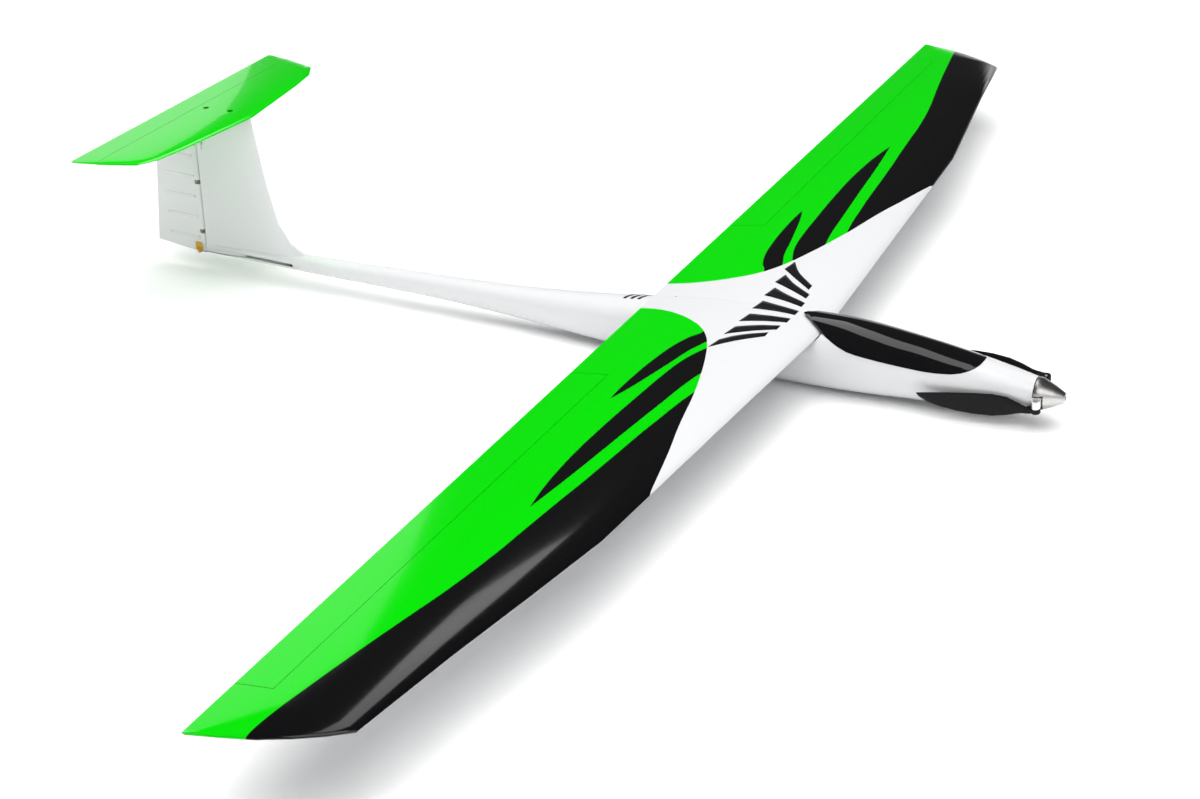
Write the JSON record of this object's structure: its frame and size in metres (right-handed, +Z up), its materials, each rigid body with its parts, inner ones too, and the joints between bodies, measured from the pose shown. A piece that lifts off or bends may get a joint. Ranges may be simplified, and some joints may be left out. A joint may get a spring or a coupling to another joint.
{
  "type": "rc glider",
  "caption": "Electric radio-controlled glider with a long low-dihedral wing, slim pod and boom, T-tail, black canopy and folding propeller.",
  "frame": {"origin": "on the centre line, on the flat along the keel that the model rests on, below the balance point", "axes": "-Y towards the nose, +X towards the left wing tip, +Z up"},
  "size_m": [2, 1.2415, 0.2297],
  "materials": {
    "white_gelcoat": "gloss gel coat on glass fibre",
    "green_film": "gloss film",
    "white_film": "gloss film",
    "black_gloss": "gloss",
    "carbon_black": "satin gloss carbon",
    "polished_aluminium": "polished",
    "steel": "bright",
    "black_screws": "black oxide",
    "motor_metal": "anodised",
    "copper_winding": "lacquered wire",
    "plywood": "plain",
    "carbon_tube": "ground carbon",
    "nylon_white": "moulded",
    "horn_black": "moulded",
    "horn_yellow": "moulded",
    "hinge_brown": "glass epoxy",
    "servo_case": "moulded",
    "magnet_plate": "plain with plated magnets",
    "battery_wrap": "shrink wrap",
    "strap_fabric": "woven hook and loop",
    "electronics": "shrink wrap",
    "lead_black": "silicone",
    "lead_red": "silicone"
  },
  "bodies": {
    "airframe": {"fuselage_shell": "white_gelcoat", "firewall": "plywood", "motor_mount": "motor_metal", "motor_stator": "copper_winding", "motor_screws": "black_screws", "sill_magnet": "plywood", "wing_right": "green_film", "wing_left": "green_film", "wing_joiner": "carbon_tube", "wing_seat": "plywood", "wing_bolts": "nylon_white", "aileron_servo_right": "servo_case", "aileron_servo_left": "servo_case", "servo_cover_right": "white_film", "servo_cover_left": "white_film", "tailplane": "green_film", "tailplane_screws": "black_screws", "elevator_servo": "servo_case", "rudder_hinges": "hinge_brown", "rudder_servo": "servo_case", "equipment_tray": "plywood", "battery": "battery_wrap", "battery_strap": "strap_fabric", "esc": "electronics", "receiver": "electronics", "motor_leads": "lead_black", "battery_leads": "lead_red"},
    "prop_hub": {"motor_bell": "motor_metal", "motor_shaft": "steel", "spinner_backplate": "polished_aluminium", "prop_yoke": "polished_aluminium", "blade_pins": "steel", "shaft_nut": "steel", "spinner_cone": "polished_aluminium", "spinner_screw": "black_screws"},
    "blade_right": {"blade_right": "carbon_black"},
    "blade_left": {"blade_left": "carbon_black"},
    "canopy": {"canopy": "black_gloss", "canopy_peg": "steel", "canopy_magnet": "magnet_plate"},
    "aileron_right": {"aileron_right": "green_film", "aileron_horn_right": "horn_black"},
    "aileron_left": {"aileron_left": "green_film", "aileron_horn_left": "horn_black"},
    "aileron_arm_right": {"aileron_arm_right": "nylon_white"},
    "aileron_arm_left": {"aileron_arm_left": "nylon_white"},
    "aileron_pushrod_right": {"aileron_pushrod_right": "steel"},
    "aileron_pushrod_left": {"aileron_pushrod_left": "steel"},
    "elevator": {"elevator": "green_film", "elevator_horn": "horn_black"},
    "elevator_arm": {"elevator_arm": "nylon_white"},
    "elevator_pushrod": {"elevator_pushrod": "steel"},
    "rudder": {"rudder": "white_film", "rudder_hinge_wire": "steel", "rudder_horn": "horn_yellow"},
    "rudder_arm": {"rudder_arm": "nylon_white"},
    "rudder_pushrod": {"rudder_pushrod": "steel"}
  },
  "joints": [
    {"name": "prop_spin", "type": "hinge", "parent": "airframe", "child": "prop_hub", "pos_m": [0, -0.323, 0.03747], "axis": [0, -1, 0], "continuous": true},
    {"name": "blade_right_fold", "type": "hinge", "parent": "prop_hub", "child": "blade_right", "pos_m": [-0.02086, -0.3226, 0.03227], "axis": [-0.2419, 0, 0.9703], "range_deg": [0, 79]},
    {"name": "blade_left_fold", "type": "hinge", "parent": "prop_hub", "child": "blade_left", "pos_m": [0.02086, -0.3226, 0.04267], "axis": [0.2419, 0, -0.9703], "range_deg": [0, 79]},
    {"name": "canopy_lift", "type": "slide", "parent": "airframe", "child": "canopy", "axis": [0, 0, 1], "range_m": [0, 0.06]},
    {"name": "aileron_right_hinge", "type": "hinge", "parent": "airframe", "child": "aileron_right", "pos_m": [-0.2325, 0.10971, 0.08306], "axis": [0.9999, 0.0032, -0.0117], "range_deg": [-18, 20]},
    {"name": "aileron_left_hinge", "type": "hinge", "parent": "airframe", "child": "aileron_left", "pos_m": [0.2325, 0.10971, 0.08306], "axis": [0.9999, -0.0032, 0.0117], "range_deg": [-18, 20]},
    {"name": "aileron_right_servo", "type": "hinge", "parent": "airframe", "child": "aileron_arm_right", "pos_m": [-0.55984, 0.04865, 0.08189], "axis": [0.9999, 0.0032, -0.0117], "range_deg": [-18, 20]},
    {"name": "aileron_left_servo", "type": "hinge", "parent": "airframe", "child": "aileron_arm_left", "pos_m": [0.55984, 0.04865, 0.08189], "axis": [0.9999, -0.0032, 0.0117], "range_deg": [-18, 20]},
    {"name": "aileron_right_rod", "type": "hinge", "parent": "aileron_arm_right", "child": "aileron_pushrod_right", "pos_m": [-0.55998, 0.04765, 0.06989], "axis": [0.9999, 0.0032, -0.0117], "range_deg": [-20, 18]},
    {"name": "aileron_left_rod", "type": "hinge", "parent": "aileron_arm_left", "child": "aileron_pushrod_left", "pos_m": [0.55998, 0.04765, 0.06989], "axis": [0.9999, -0.0032, 0.0117], "range_deg": [-20, 18]},
    {"name": "elevator_hinge", "type": "hinge", "parent": "airframe", "child": "elevator", "pos_m": [0, 0.805, 0.22777], "axis": [1, 0, 0], "range_deg": [-16, 18]},
    {"name": "elevator_servo_turn", "type": "hinge", "parent": "airframe", "child": "elevator_arm", "pos_m": [0, 0.8004, 0.17547], "axis": [0, -1, 0], "range_deg": [-16, 18]},
    {"name": "elevator_rod_slide", "type": "slide", "parent": "airframe", "child": "elevator_pushrod", "axis": [0, 0.5547, 0.8321], "range_m": [-0.0041, 0.0046]},
    {"name": "rudder_hinge", "type": "hinge", "parent": "airframe", "child": "rudder", "pos_m": [0, 0.816, 0.12147], "axis": [0, 0, 1], "range_deg": [-28, 28]},
    {"name": "rudder_servo_turn", "type": "hinge", "parent": "airframe", "child": "rudder_arm", "pos_m": [0.0125, -0.082, 0.04397], "axis": [0, 0, 1], "range_deg": [-28, 28]},
    {"name": "rudder_rod_turn", "type": "hinge", "parent": "rudder_arm", "child": "rudder_pushrod", "pos_m": [-0.0005, -0.082, 0.04397], "axis": [0, 0, 1], "range_deg": [-28, 28]}
  ],
  "couplings": [
    {"joint": "aileron_right_servo", "follows": "aileron_right_hinge", "ratio": 1},
    {"joint": "aileron_right_rod", "follows": "aileron_right_hinge", "ratio": -1},
    {"joint": "aileron_left_servo", "follows": "aileron_left_hinge", "ratio": 1},
    {"joint": "aileron_left_rod", "follows": "aileron_left_hinge", "ratio": -1},
    {"joint": "elevator_servo_turn", "follows": "elevator_hinge", "ratio": 1},
    {"joint": "elevator_rod_slide", "follows": "elevator_hinge", "m_per_rad": 0.014422},
    {"joint": "rudder_servo_turn", "follows": "rudder_hinge", "ratio": 1},
    {"joint": "rudder_rod_turn", "follows": "rudder_hinge", "ratio": -1}
  ]
}
